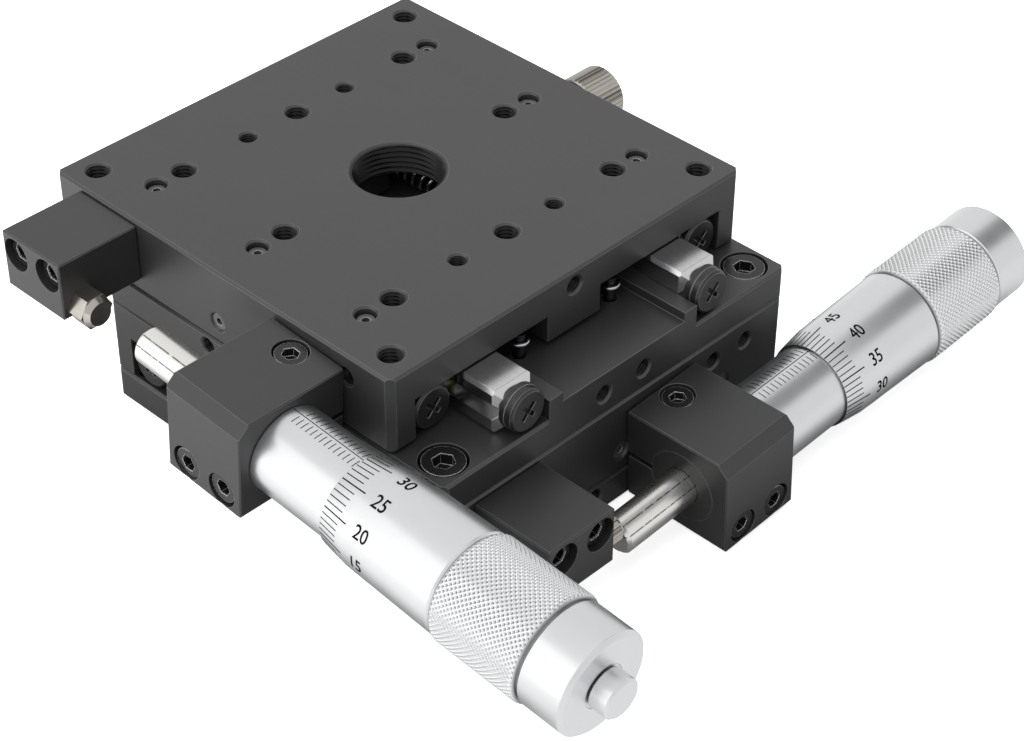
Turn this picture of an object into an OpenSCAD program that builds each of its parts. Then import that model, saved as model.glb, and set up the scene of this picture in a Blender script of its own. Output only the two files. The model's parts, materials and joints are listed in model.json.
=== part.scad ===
// Manual two-axis stage: two single-axis crossed-roller stages stacked at right angles,
// each driven by its own micrometer head. The lower stage travels along X and the upper
// one along Y. Every module below draws its piece for a stage that travels along X, with
// the head on the -Y side, and the upper stage is that same stage turned a quarter.
// The origin is the centre of the lower base's bottom face, and +Z is up.

/* [Plates] */
// Side of the square tables and bases
plate_w = 80; // [76:1:110]
// Thickness of a base plate
base_t = 6; // [6:0.5:9]
// Thickness of a table's top slab
slab_t = 6; // [6:0.5:9]
// Height of the side flanges that hang below a table's slab
flange_h = 8; // [8:0.5:10]
// Thickness of the side flanges
flange_t = 5; // [4:0.5:6]
// Running gap between what a table carries and what a base carries
run_gap = 0.3; // [0.2:0.05:0.5]
// Chamfer on the plates' upright corners
corner_cut = 1.2; // [0.5:0.1:2.5]
// Broken edge along the plates' faces
edge_cut = 0.4; // [0.2:0.1:0.8]
// Width of the rib under the middle of a table
rib_w = 12; // [8:1:14]
// Gap between the rib and the trough floor below it
rib_gap = 1; // [0.5:0.1:2]
// Height of the raised pad along the middle of a base
pad_h = 4; // [3:0.5:5]
// Width of the wall that the trough leaves along each side of the pad
pad_wall = 2.9; // [1.6:0.1:4]
// Depth of the trough in the pad
trough_depth = 1.7; // [1:0.1:2.5]

/* [Travel] */
// Travel to each side of the middle
travel = 12.5; // [6:0.5:12.5]
// How far the upper table stands from the middle of its travel
upper_shift = 11; // [0:0.5:11]

/* [Table holes] */
// Distance of the four corner holes, and of the base's fixing holes, from the edges
corner_inset = 5; // [4:0.5:6]
// Spacing of the inner square of tapped holes
inner_pitch = 50; // [46:1:52]
// Spacing across the ways of the four small tapped holes
small_pitch = 22; // [20:1:26]
// Thread size of the large tapped holes
large_thread_d = 4; // [3:0.5:5]
// Thread size of the small tapped holes and screws
small_thread_d = 3; // [2.5:0.5:3]
// Countersink beyond the thread at each tapped hole's mouth
sink_w = 0.35; // [0.1:0.05:0.6]
// Thread size of the bore through the middle of a table
centre_bore_d = 16; // [10:1:20]
// Depth of the tapped holes in the plates' sides
side_hole_depth = 7; // [5:0.5:7.5]
// Clearance hole for the large screws
large_clear_d = 4.5; // [4.3:0.1:5]

/* [Ways] */
// Width of one rail
rail_w = 8.3; // [7.5:0.1:8.6]
// Distance of the heads on the rail ends inside the plates' edges
end_inset = 0.4; // [0.2:0.1:3]
// Gap between the facing rails of a way
way_gap = 1.2; // [1:0.1:1.5]
// Side of the square that the two facing V grooves enclose
roller_space = 3; // [2.5:0.1:3.4]
// Clearance between a roller and the flanks of the grooves
roller_play = 0.05; // [0.03:0.01:0.1]
// Rollers in one cage
roller_count = 12; // [6:1:12]
// Spacing of the rollers
roller_pitch = 4.8; // [4.5:0.1:5]
// Thickness of a cage strip
cage_t = 0.7; // [0.5:0.1:0.8]
// Height of a cage strip
cage_h = 6.4; // [5.8:0.1:6.8]
// Clearance between a roller and its window in the cage
window_gap = 0.2; // [0.1:0.05:0.4]
// Chamfer along a rail's edges
rail_cut = 0.6; // [0.3:0.1:1]
// Chamfer at a rail's ends
rail_end_cut = 1.2; // [0.5:0.1:1.6]
// Distance of a rail's outer screws from its ends
rail_screw_inset = 12; // [12:1:16]
// Clearance hole in the table over each rail screw
rail_hole_d = 3.5; // [3.3:0.1:4]
// Diameter of the heads on the rail ends
end_head_d = 7.6; // [6:0.1:7.6]
// Thickness of those heads
end_head_t = 1.6; // [1:0.1:1.7]
// Diameter of the washers under them
end_washer_d = 7.8; // [6:0.1:7.8]
// Thickness of those washers
end_washer_t = 1; // [0.6:0.1:1.1]

/* [Return springs] */
// Distance of each spring from the trough's wall
spring_inset = 3.7; // [2.7:0.1:4.7]
// Outer diameter of a spring
spring_d = 4.4; // [3.5:0.1:4.6]
// Wire of a spring
spring_wire_d = 0.7; // [0.5:0.1:0.9]
// Height of the springs above the trough floor
spring_lift = 2.8; // [2.6:0.1:3]
// Distance of the pins on the base from the plates' edges
base_pin_inset = 13; // [10:1:20]
// Distance of the pins on the table from the plates' edges
table_pin_inset = 6; // [5:1:9]
// Diameter of the spring pins
pin_d = 2; // [1.5:0.1:2.5]
// Length of a spring's straight ends
hook_l = 3; // [2:0.1:4]

/* [Head bracket] */
// Place of the bracket's middle along the travel
bracket_x = 10; // [9:0.5:12]
// Width of the bracket along the travel
bracket_w = 16.5; // [16:0.5:17.5]
// Reach of the bracket out from the base
bracket_d = 21.2; // [20.5:0.1:24]
// Height of the bracket's top above the base's bottom face
bracket_h = 18.4; // [17:0.1:18.5]
// Height of the bracket's bottom face above that of the base
bracket_lift = 0.6; // [0.6:0.1:1]
// Chamfer on the bracket's upper outer edge
bracket_cut = 2; // [1:0.1:2.4]
// Gap between the bracket and the table that passes it
bracket_gap = 0.4; // [0.3:0.1:0.6]
// Distance of the head's axis out from the base
head_reach = 11.8; // [11.4:0.1:12.4]
// Height of the head's axis above the base's bottom face
head_h = 9.5; // [9.5:0.1:10]
// Tilt of the lower head about its bracket's screws, positive with the thimble up
lower_head_tilt = 3.5; // [0:0.5:4]
// Tilt of the upper head about its bracket's screws
upper_head_tilt = -4; // [-4:0.5:4]
// Width of the clamping slit
slit_w = 1; // [0.6:0.1:1.2]
// Distance of the two screws that hold the bracket from its sides
bracket_screw_inset = 4.2; // [3.8:0.1:4.4]
// Wall left between their heads' counterbores and the bracket's bottom face
bracket_bore_wall = 0.15; // [0.1:0.05:0.3]
// Place of the clamping screw out from the base
clamp_reach = 3.6; // [3.5:0.1:3.8]

/* [Micrometer head] */
// Diameter of the stem in the bracket
stem_d = 8; // [7.8:0.1:8]
// Diameter of the round nut that holds the stem
stem_nut_d = 12.8; // [11:0.1:13]
// Thickness of that nut
stem_nut_t = 2.7; // [2:0.1:2.7]
// Diameter of the graduated sleeve
sleeve_d = 14.8; // [13:0.1:15]
// Length of the sleeve beyond the bracket
sleeve_l = 38; // [34:0.5:38]
// Diameter of the spindle
spindle_d = 6.5; // [5:0.1:6.5]
// Chamfer at the spindle's tip
spindle_cut = 0.6; // [0.3:0.1:1]
// Radial running clearance of the spindle and thimble
fit_gap = 0.05; // [0.03:0.01:0.08]
// Gap between bracket and thimble at mid travel
thimble_gap = 15.75; // [15:0.25:17]
// Length of the graduated bevel
bevel_l = 5.5; // [4:0.1:7]
// Diameter of the bevel's front edge
bevel_d = 15.8; // [15.8:0.1:16]
// Diameter of the thimble behind the bevel
thimble_front_d = 16.6; // [16.4:0.1:17]
// Diameter of the thimble at the grip
thimble_rear_d = 17.8; // [17.2:0.1:18]
// Length of the thimble up to the grip
thimble_l = 23.5; // [21:0.5:23.5]
// Diameter of the knurled grip
grip_d = 18.4; // [18.2:0.1:18.8]
// Length of the knurled grip
grip_l = 17; // [16:0.5:18]
// Wall of the thimble inside the grip
grip_wall = 0.75; // [0.6:0.05:1]
// Thickness of the web that closes the thimble
web_t = 3; // [2:0.5:3]
// Diameter of the end cap
cap_d = 17.5; // [16:0.1:18]
// Length of the end cap
cap_l = 8.7; // [7:0.1:10]
// Chamfer of the end cap
cap_cut = 0.8; // [0.3:0.1:1.5]
// Diameter of the ratchet knob
knob_d = 6.8; // [5:0.1:8]
// Length of the ratchet knob
knob_l = 3.5; // [2:0.1:5]
// Diameter of the ratchet knob's stem
knob_stem_d = 3; // [2:0.1:3.5]

/* [Stop block] */
// Distance of the block from the table's end
block_inset = 6.5; // [5.5:0.1:7]
// Width of the block along the travel
block_w = 14.5; // [13.5:0.1:15.5]
// Reach of the block out from the table
block_d = 15.8; // [15.2:0.1:17]
// Height of the block
block_h = 10.7; // [10.5:0.1:11]
// Drop of the block's top below the table's top
block_drop = 0.8; // [0.5:0.1:1]
// Distance of the two screws through the block from its sides
block_screw_inset = 3.25; // [3.2:0.05:3.5]
// Height of those screws below the table's top
block_screw_drop = 4.2; // [4:0.1:4.4]
// Depth of their counterbores
block_bore_depth = 6; // [4:0.5:8]
// Distance from the block to the spindle's tip at mid travel
contact_reach = 5; // [4.5:0.1:5.1]
// Height of the contact above the base's bottom face
contact_h = 10.4; // [10.4:0.1:10.8]
// Width across the flats of the hexagonal contact
contact_af = 5.5; // [5:0.1:6]
// Diameter of the contact's tip
contact_tip_d = 4.2; // [3:0.1:4.6]
// Length of the contact's tapered tip
contact_tip_l = 1; // [0.5:0.1:1.5]
// Diameter of the contact's shank
contact_shank_d = 2.5; // [2:0.1:2.6]
// Length of the contact's shank
contact_shank_l = 8; // [5:0.5:10]
// Diameter of the round knurled contact of the lower stage
round_contact_d = 4.8; // [4:0.1:5]
// Gap left between contact and spindle where they meet
contact_gap = 0.05; // [0.03:0.01:0.1]

/* [Lock] */
// Place of the lock screw, short of the middle of the table
lock_x = 3; // [2:0.5:4]
// Thickness of the slotted lock plate
lock_plate_t = 4.5; // [3:0.1:5]
// Height of the lock plate
lock_plate_h = 14.4; // [13.5:0.1:15]
// Wall left around the ends of the slot
lock_plate_end = 6; // [4:0.5:7]
// Diameter of the lock screw's thread
lock_screw_d = 4; // [3:0.5:4]
// Clearance of the lock screw in the slot
lock_slot_gap = 0.3; // [0.2:0.05:0.5]
// Diameter of the lock screw's knurled head
lock_head_d = 10.5; // [9:0.1:11]
// Length of the knurled head
lock_head_l = 7.3; // [6:0.1:9]
// Diameter of the collar under the head
lock_collar_d = 8; // [7:0.1:8.5]
// Length of the collar
lock_collar_l = 1.2; // [0.8:0.1:2]
// Ribs round the knurled head
lock_ribs = 40; // [24:1:60]
// Depth of those ribs
lock_rib_depth = 0.25; // [0.1:0.05:0.4]
// Gap between lock plate and collar
lock_gap = 0.1; // [0.05:0.05:0.3]

/* [Screws] */
// Head diameter of the large cap screws
large_head_d = 7; // [6:0.1:7.4]
// Head height of the large cap screws
large_head_h = 4; // [3:0.1:4]
// Counterbore diameter for them
large_bore_d = 8; // [7.6:0.1:8.4]
// Depth of that counterbore
large_bore_depth = 4.2; // [3.5:0.1:4.4]
// Head diameter of the small cap screws
small_head_d = 5.2; // [5:0.1:5.3]
// Head height of the small cap screws
small_head_h = 3; // [2:0.1:3]
// Counterbore diameter for them
small_bore_d = 5.9; // [5.8:0.1:6]
// Depth of that counterbore
small_bore_depth = 3.4; // [3.1:0.1:3.8]
// Radial clearance of a screw in its tapped hole
thread_gap = 0.05; // [0.03:0.01:0.08]
// Radial clearance of a small screw in a clearance hole
screw_gap = 0.2; // [0.1:0.05:0.25]
// Width across the flats of a socket, for each millimetre of thread
socket_share = 0.83; // [0.7:0.01:0.85]
// Preload screws along one flange
preload_count = 3; // [1:2:3]
// Spacing of the preload screws
preload_pitch = 25; // [20:1:25]

/* [Hidden] */

// One overrun for every cut that passes through a face
over = 0.5;
// Sides of the round shapes
round_sides = 64;
small_sides = 32;

// Heights within one stage, from its base's bottom face
table_bottom = base_t + run_gap;
slab_bottom = table_bottom + flange_h;
stage_h = slab_bottom + slab_t;
trough_floor = base_t + pad_h - trough_depth;
way_h = base_t + run_gap / 2 + flange_h / 2;
half = plate_w / 2;
corner_pitch = plate_w - 2 * corner_inset;

// Places of the rails across the stage
outer_rail_y = half - flange_t - rail_w;
way_y = outer_rail_y - way_gap / 2;
inner_rail_y = way_y - way_gap / 2 - rail_w;
rail_seat_gap = 0.1;
pad_half = inner_rail_y - rail_seat_gap;
trough_w = 2 * (pad_half - pad_wall);
groove_half = roller_space * sqrt(2) / 2;
groove_mouth = groove_half - way_gap / 2;
inner_rail_mid = inner_rail_y + rail_w / 2;
outer_rail_mid = outer_rail_y + rail_w / 2;
roller_d = roller_space - 2 * roller_play;
roller_l = roller_space - 4 * roller_play;
window_l = roller_d + 2 * window_gap;
window_h = (roller_d + roller_l) * sqrt(2) / 2 + 2 * window_gap;
cage_end = 1.4;
cage_l = (roller_count - 1) * roller_pitch + window_l + 2 * cage_end;
rail_l = plate_w - 2 * (end_head_t + end_washer_t + end_inset);
rail_screw_pitch = rail_l / 2 - rail_screw_inset;
rail_screws = [for (i = [-1 : 1]) i * rail_screw_pitch];
rail_screw_recess = 1.2;
rail_screw_engage = 4;
rib_break = centre_bore_d + 2 * rib_gap;
stack_engage = 5.4;

// The return springs, between the pins of the base and those of the table
spring_h = trough_floor + spring_lift;
spring_y = trough_w / 2 - spring_inset;
base_pin_x = half - base_pin_inset;
table_pin_x = half - table_pin_inset;
pin_play = 0.3;
base_pin_top = spring_h + spring_lift / 2;
table_pin_drop = slab_bottom - spring_h + spring_lift / 2;
spring_curls = 14;
curl_rings = 8;
ramp_rings = 6;
wire_sides = 6;

// The head's axis and its places along the travel at mid travel
head_y = half + head_reach;
bracket_face = bracket_x + bracket_w / 2;
bracket_back = bracket_x - bracket_w / 2;
end_hole_pitch = 9.2;
bracket_screw_pitch = bracket_w - 2 * bracket_screw_inset;
bracket_screw_h = bracket_lift + bracket_bore_wall + small_bore_d / 2;
bracket_screw_depth = 8;
bracket_hole_d = small_thread_d + 3.5 * screw_gap;
bracket_foot_h = base_t - bracket_lift / 2;
thimble_x = bracket_face + thimble_gap;
grip_x = thimble_x + thimble_l;
cap_x = grip_x + grip_l;
thimble_bore_d = sleeve_d + 2 * fit_gap;
grip_bore_d = thimble_bore_d + 2 * grip_wall;
thimble_cavity = thimble_l + grip_l - web_t;
spindle_in_cap = 3;
knob_stem_l = 3.5;
knob_cut = 0.3;
clamp_screw_l = 10;
spindle_bore_play = fit_gap;

// The stop block and its contact
block_top = stage_h - block_drop;
block_screw_h = stage_h - block_screw_drop;
block_x = half - block_inset - block_w;
block_mid = block_x + block_w / 2;
block_screw_pitch = block_w - 2 * block_screw_inset;
spindle_tip = block_x - contact_reach;
tip_reach = (spindle_tip + bracket_x) * cos(lower_head_tilt) - bracket_x
    + (head_h - bracket_screw_h + spindle_d / 2) * sin(lower_head_tilt);
contact_l = block_x - tip_reach - contact_gap;
contact_ribs = 28;
contact_rib_depth = 0.15;
block_edge = 0.25;

// The lock, on the side of the stage across from the head
lock_h = way_h;
lock_slot_l = 2 * travel + lock_screw_d + 2 * lock_slot_gap;
lock_slot_w = lock_screw_d + 2 * lock_slot_gap;
lock_plate_l = lock_slot_l + 2 * lock_plate_end;
lock_face = half + bracket_gap + lock_plate_t;
lock_foot_pitch = 26;
lock_engage = 4;
lock_edge = 0.4;

// Sockets and small screw details
preload_recess = 0.4;
cross_w = 0.8;
cross_l = 3.6;
cross_depth = 0.9;
socket_depth_share = 0.5;
end_screw_engage = 5;
end_screw_d = 3;

// Points of a rectangle from corner a to corner b with its corners cut
function cut_rect(a, b, c) = [
    [a[0] + c, a[1]], [b[0] - c, a[1]], [b[0], a[1] + c], [b[0], b[1] - c],
    [b[0] - c, b[1]], [a[0] + c, b[1]], [a[0], b[1] - c], [a[0], a[1] + c]
];

// Points of a ribbed circle: each rib has a root and a crest
function ribbed(d, ribs, depth) = [
    for (i = [0 : 2 * ribs - 1])
        let (a = i * 180 / ribs, r = d / 2 - (i % 2) * depth)
            [r * cos(a), r * sin(a)]
];

// Ring centres of a spring that runs along +X for length l, each with its outward direction
function spring_rings(l) =
    let (steps = spring_curls * curl_rings, coil_l = l - 2 * hook_l,
        coil_r = (spring_d - spring_wire_d) / 2)
    concat(
        [for (x = [0, spring_wire_d]) [[x, 0, 0], [0, 1, 0]]],
        [for (i = [0 : steps])
            let (a = i * 360 / curl_rings, out = [0, cos(a), sin(a)],
                share = min(1, i / ramp_rings, (steps - i) / ramp_rings))
                [[hook_l + coil_l * i / steps, 0, 0] + coil_r * share * out, out]],
        [for (x = [l - spring_wire_d, l]) [[x, 0, 0], [0, 1, 0]]]
    );

// Corners of the wire's ring i, square to the way that the wire runs there
function wire_ring(rings, i) =
    let (last = len(rings) - 1, way = rings[min(i + 1, last)][0] - rings[max(i - 1, 0)][0],
        t = way / norm(way), lean = rings[i][1] - (rings[i][1] * t) * t,
        u = lean / norm(lean), v = cross(t, u))
    [for (k = [0 : wire_sides - 1]) let (a = k * 360 / wire_sides)
        rings[i][0] + spring_wire_d / 2 * (cos(a) * u + sin(a) * v)];

// Least gap between two places on the wire that are half a curl or more apart
function curl_gap(rings) = min([
    for (i = [0 : len(rings) - 1]) for (j = [i + curl_rings / 2 : 1 : len(rings) - 1])
        norm(rings[i][0] - rings[j][0])
]) - spring_wire_d;

// Wound spring of length l along +X, one unbroken tube
module wound_spring(l) {
    rings = spring_rings(l);
    n = wire_sides;
    last = len(rings) - 1;
    echo("Least gap between the curls, mm", curl_gap(rings));
    polyhedron(
        points = [for (i = [0 : last]) each wire_ring(rings, i)],
        faces = concat(
            [for (i = [0 : last - 1]) for (k = [0 : n - 1])
                [i * n + k, (i + 1) * n + k, (i + 1) * n + (k + 1) % n]],
            [for (i = [0 : last - 1]) for (k = [0 : n - 1])
                [i * n + k, (i + 1) * n + (k + 1) % n, i * n + (k + 1) % n]],
            [for (k = [1 : n - 2]) [0, k, k + 1]],
            [for (k = [1 : n - 2]) [last * n, last * n + k + 1, last * n + k]]
        )
    );
}

// Turns an outline in the plane across the travel into a bar of length l along it
module along_x(l) {
    translate([-l / 2, 0, 0]) rotate([90, 0, 90]) linear_extrude(l) children();
}

// Box from corner a to corner b, with its upright corners cut by c and all else by e
module cut_box(a, b, c, e) {
    intersection() {
        translate([0, 0, a[2]]) linear_extrude(b[2] - a[2]) polygon(cut_rect(a, b, c));
        translate([a[0], 0, 0]) rotate([90, 0, 90]) linear_extrude(b[0] - a[0])
            polygon(cut_rect([a[1], a[2]], [b[1], b[2]], e));
        translate([0, b[1], 0]) rotate([90, 0, 0]) linear_extrude(b[1] - a[1])
            polygon(cut_rect([a[0], a[2]], [b[0], b[2]], e));
    }
}

// Tapped hole that goes down from its mouth at the origin
module tapped(d, depth) {
    translate([0, 0, -depth]) cylinder(h = depth + over, d = d, $fn = small_sides);
    translate([0, 0, -sink_w])
        cylinder(h = sink_w, d1 = d, d2 = d + 2 * sink_w, $fn = small_sides);
}

// The same hole cut into the side y = side of a plate
module side_tapped(side, d, depth) {
    rotate([side > 0 ? -90 : 90, 0, 0]) tapped(d, depth);
}

// Cap screw with its head above the origin and its shank below
module cap_screw(d, head_d, head_h, l) {
    depth = head_h * socket_depth_share;
    difference() {
        union() {
            cylinder(h = head_h, d = head_d, $fn = small_sides);
            translate([0, 0, -l]) cylinder(h = l, d = d - 2 * thread_gap, $fn = small_sides);
        }
        translate([0, 0, head_h - depth])
            cylinder(h = depth + over, d = d * socket_share / cos(30), $fn = 6);
    }
}

// Headless screw that hangs down from the origin
module set_screw(d, l) {
    depth = l * socket_depth_share;
    difference() {
        translate([0, 0, -l]) cylinder(h = l, d = d - 2 * thread_gap, $fn = small_sides);
        translate([0, 0, -depth])
            cylinder(h = depth + over, d = d * socket_share / 2 / cos(30), $fn = 6);
    }
}

// Screw with a cross recess and a washer, seated on a rail end and pointing along X
module end_screw() {
    rotate([0, 90, 0]) {
        cylinder(h = end_washer_t, d = end_washer_d, $fn = small_sides);
        translate([0, 0, -end_screw_engage])
            cylinder(h = end_screw_engage, d = end_screw_d - 2 * thread_gap,
                $fn = small_sides);
        translate([0, 0, end_washer_t]) difference() {
            union() {
                cylinder(h = end_head_t - edge_cut, d = end_head_d, $fn = small_sides);
                translate([0, 0, end_head_t - edge_cut])
                    cylinder(h = edge_cut, d1 = end_head_d, d2 = end_head_d - 2 * edge_cut,
                        $fn = small_sides);
            }
            translate([0, 0, end_head_t - cross_depth]) for (turn = [0, 90])
                rotate([0, 0, turn + 45]) translate([-cross_l / 2, -cross_w / 2, 0])
                    cube([cross_l, cross_w, cross_depth + over]);
        }
    }
}

// Repeats a piece on both sides of the stage, or at both ends of it
module both_sides() {
    children();
    mirror([0, 1, 0]) children();
}
module both_ends() {
    children();
    mirror([1, 0, 0]) children();
}

// Base plate: a square plate with a raised pad and a trough along its middle
module base() {
    side_holes = [for (m = [-1, 1]) for (s = [-1, 1]) m * bracket_x + s * bracket_screw_pitch / 2];
    end_hole_h = (base_t + pad_h - trough_depth) / 2;
    color([0.16, 0.16, 0.17]) difference() {
        union() {
            cut_box([-half, -half, 0], [half, half, base_t], corner_cut, edge_cut);
            along_x(plate_w) polygon(concat(
                [[-pad_half, base_t / 2], [pad_half, base_t / 2]],
                [[pad_half, base_t + pad_h], [trough_w / 2, base_t + pad_h]],
                [[trough_w / 2, trough_floor], [-trough_w / 2, trough_floor]],
                [[-trough_w / 2, base_t + pad_h], [-pad_half, base_t + pad_h]]
            ));
        }
        for (x = [-1, 1]) for (y = [-1, 1])
            translate([x * corner_pitch / 2, y * corner_pitch / 2, base_t]) {
                translate([0, 0, -base_t - over])
                    cylinder(h = base_t + 2 * over, d = large_clear_d, $fn = small_sides);
                translate([0, 0, -large_bore_depth])
                    cylinder(h = large_bore_depth + over, d = large_bore_d,
                        $fn = small_sides);
            }
        for (x = rail_screws) both_sides() translate([x, inner_rail_mid, 0]) {
            translate([0, 0, -over])
                cylinder(h = base_t + 2 * over, d = small_thread_d + 2 * screw_gap,
                    $fn = small_sides);
            translate([0, 0, -over])
                cylinder(h = small_bore_depth + over, d = small_bore_d,
                    $fn = small_sides);
        }
        for (x = side_holes) translate([x, -half, bracket_screw_h])
            side_tapped(-1, small_thread_d, bracket_screw_depth);
        for (s = [-1, 1]) translate([s * lock_foot_pitch / 2 - lock_x, half, bracket_screw_h])
            side_tapped(1, small_thread_d, bracket_screw_depth);
        both_ends() both_sides() translate([half, end_hole_pitch / 2, end_hole_h])
            rotate([0, 90, 0]) tapped(small_thread_d, side_hole_depth);
        both_sides() for (s = [-1, 1])
            translate([s * base_pin_x, spring_y, trough_floor])
                tapped(pin_d + 2 * thread_gap, trough_depth + pad_h / 2);
    }
}

// Table: a square slab with a flange down each side and a rib under its middle
module table() {
    rib_bottom = trough_floor + rib_gap;
    block_holes = [for (m = [-1, 1]) for (s = [-1, 1]) m * block_mid + s * block_screw_pitch / 2];
    large_holes = concat(
        [for (x = [-1, 1]) for (y = [-1, 1]) [x * corner_pitch / 2, y * corner_pitch / 2]],
        [for (x = [-1, 1]) for (y = [-1, 1]) [x * inner_pitch / 2, y * inner_pitch / 2]],
        [for (s = [-1, 1]) [s * inner_pitch / 2, 0]],
        [for (s = [-1, 1]) [0, s * inner_pitch / 2]]
    );
    color([0.18, 0.18, 0.19]) difference() {
        cut_box([-half, -half, table_bottom], [half, half, stage_h], corner_cut, edge_cut);
        difference() {
            along_x(plate_w + 2 * over) polygon([
                [-half + flange_t, table_bottom - over], [half - flange_t, table_bottom - over],
                [half - flange_t, slab_bottom], [-half + flange_t, slab_bottom]
            ]);
            for (s = [-1, 1]) translate([s * (half + rib_break / 2) / 2, 0, 0])
                along_x(half - rib_break / 2) polygon([
                    [-rib_w / 2, rib_bottom], [rib_w / 2, rib_bottom],
                    [rib_w / 2, slab_bottom + over], [-rib_w / 2, slab_bottom + over]
                ]);
        }
        translate([0, 0, stage_h]) {
            tapped(centre_bore_d, slab_t + flange_h);
            for (p = large_holes) translate([p[0], p[1], 0])
                tapped(large_thread_d, slab_t + thread_gap);
            for (x = [-1, 1]) for (y = [-1, 1])
                translate([x * inner_pitch / 2, y * small_pitch / 2, 0])
                    tapped(small_thread_d, slab_t + over);
            for (x = rail_screws) both_sides() translate([x, outer_rail_mid, 0])
                tapped(rail_hole_d, slab_t + over);
        }
        for (x = block_holes) translate([x, -half, block_screw_h])
            side_tapped(-1, small_thread_d, side_hole_depth);
        for (i = [0 : preload_count - 1])
            translate([(i - (preload_count - 1) / 2) * preload_pitch, -half, way_h])
                side_tapped(-1, small_thread_d, flange_t + over);
        translate([-lock_x, half, lock_h]) side_tapped(1, lock_screw_d, flange_t + over);
        both_ends() translate([half, 0, slab_bottom + slab_t / 2]) rotate([0, 90, 0])
            tapped(small_thread_d, side_hole_depth);
        both_sides() for (s = [-1, 1])
            translate([s * table_pin_x, spring_y, slab_bottom]) mirror([0, 0, 1])
                tapped(pin_d + 2 * thread_gap, slab_t / 2);
    }
}

// Ground rail with a V groove in the face towards its partner, chamfered at its ends
module rail(y, bottom, groove_side) {
    top = bottom + flange_h;
    face = groove_side > 0 ? y + rail_w : y;
    apex = way_y - groove_side * groove_half;
    a = [y, bottom];
    b = [y + rail_w, top];
    intersection() {
        along_x(rail_l) difference() {
            polygon(cut_rect(a, b, rail_cut));
            polygon([
                [face + groove_side * over, way_h - groove_mouth - over],
                [apex, way_h],
                [face + groove_side * over, way_h + groove_mouth + over]
            ]);
        }
        translate([0, 0, bottom]) linear_extrude(flange_h)
            polygon(cut_rect([-rail_l / 2, y], [rail_l / 2, y + rail_w], rail_end_cut));
        translate([0, y + rail_w, 0]) rotate([90, 0, 0]) linear_extrude(rail_w)
            polygon(cut_rect([-rail_l / 2, bottom], [rail_l / 2, top], rail_end_cut));
    }
}

// Pair of rails that the base carries, screwed on from below
module inner_rails() {
    color([0.62, 0.62, 0.63]) both_sides() difference() {
        rail(inner_rail_y, base_t, 1);
        for (x = rail_screws) translate([x, inner_rail_mid, base_t]) mirror([0, 0, 1])
            tapped(small_thread_d, flange_h + over);
        both_ends() translate([rail_l / 2, inner_rail_mid, way_h]) rotate([0, 90, 0])
            tapped(end_screw_d, end_screw_engage + over);
    }
}

// Pair of rails that the table carries, screwed on from above
module outer_rails() {
    color([0.55, 0.55, 0.56]) both_sides() difference() {
        rail(outer_rail_y, table_bottom, -1);
        for (x = rail_screws) translate([x, outer_rail_mid, slab_bottom])
            tapped(small_thread_d, flange_h + over);
        both_ends() translate([rail_l / 2, outer_rail_mid, way_h]) rotate([0, 90, 0])
            tapped(end_screw_d, end_screw_engage + over);
    }
}

// Strip cages, each with a window for every roller
module roller_cages() {
    color([0.75, 0.66, 0.42]) both_sides() difference() {
        translate([-cage_l / 2, way_y - cage_t / 2, way_h - cage_h / 2])
            cube([cage_l, cage_t, cage_h]);
        for (i = [0 : roller_count - 1])
            translate([(i - (roller_count - 1) / 2) * roller_pitch - window_l / 2,
                way_y - cage_t / 2 - over, way_h - window_h / 2])
                cube([window_l, cage_t + 2 * over, window_h]);
    }
}

// Rollers crossed at right angles, one after the other
module rollers() {
    color([0.8, 0.8, 0.82]) both_sides() for (i = [0 : roller_count - 1])
        translate([(i - (roller_count - 1) / 2) * roller_pitch, way_y, way_h])
            rotate([i % 2 == 0 ? 45 : -45, 0, 0]) translate([0, 0, -roller_l / 2])
                cylinder(h = roller_l, d = roller_d, $fn = small_sides);
}

// Screws with washers on the rail ends, at distance y from the middle
module rail_end_screws(y) {
    color([0.2, 0.2, 0.21]) both_sides() both_ends()
        translate([rail_l / 2, y, way_h]) end_screw();
}

// Screws that hold the inner rails, from below the base
module inner_rail_screws() {
    color([0.15, 0.15, 0.16]) for (x = rail_screws) both_sides()
        translate([x, inner_rail_mid, small_bore_depth]) mirror([0, 0, 1])
            cap_screw(small_thread_d, small_head_d, small_head_h,
                base_t - small_bore_depth + rail_screw_engage);
}

// Screws that hold the outer rails, sunk in the table's top
module outer_rail_screws() {
    color([0.15, 0.15, 0.16]) for (x = rail_screws) both_sides()
        translate([x, outer_rail_mid, stage_h - rail_screw_recess])
            set_screw(small_thread_d, slab_t - rail_screw_recess + rail_screw_engage);
}

// Screws in one flange that press the outer rail against the rollers
module preload_screws() {
    color([0.15, 0.15, 0.16]) for (i = [0 : preload_count - 1])
        translate([(i - (preload_count - 1) / 2) * preload_pitch,
            preload_recess - half, way_h]) rotate([90, 0, 0])
            set_screw(small_thread_d, flange_t - preload_recess - run_gap);
}

// Return springs from the base's pins to those of a table that stands at shift
module return_springs(shift) {
    from = base_pin_x - pin_d / 2 - pin_play;
    to = shift - table_pin_x + pin_d / 2 + pin_play;
    color([0.78, 0.78, 0.8]) both_sides() translate([to, spring_y, spring_h])
        wound_spring(from - to);
}

// Pins on the base that hold the springs
module base_spring_pins() {
    sunk = pad_h / 2;
    color([0.7, 0.7, 0.72]) both_sides()
        translate([base_pin_x, spring_y, trough_floor - sunk])
            cylinder(h = base_pin_top - trough_floor + sunk, d = pin_d, $fn = small_sides);
}

// Pins on the table that hold the springs
module table_spring_pins() {
    sunk = slab_t / 3;
    color([0.7, 0.7, 0.72]) both_sides()
        translate([-table_pin_x, spring_y, slab_bottom - table_pin_drop])
            cylinder(h = table_pin_drop + sunk, d = pin_d, $fn = small_sides);
}

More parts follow.
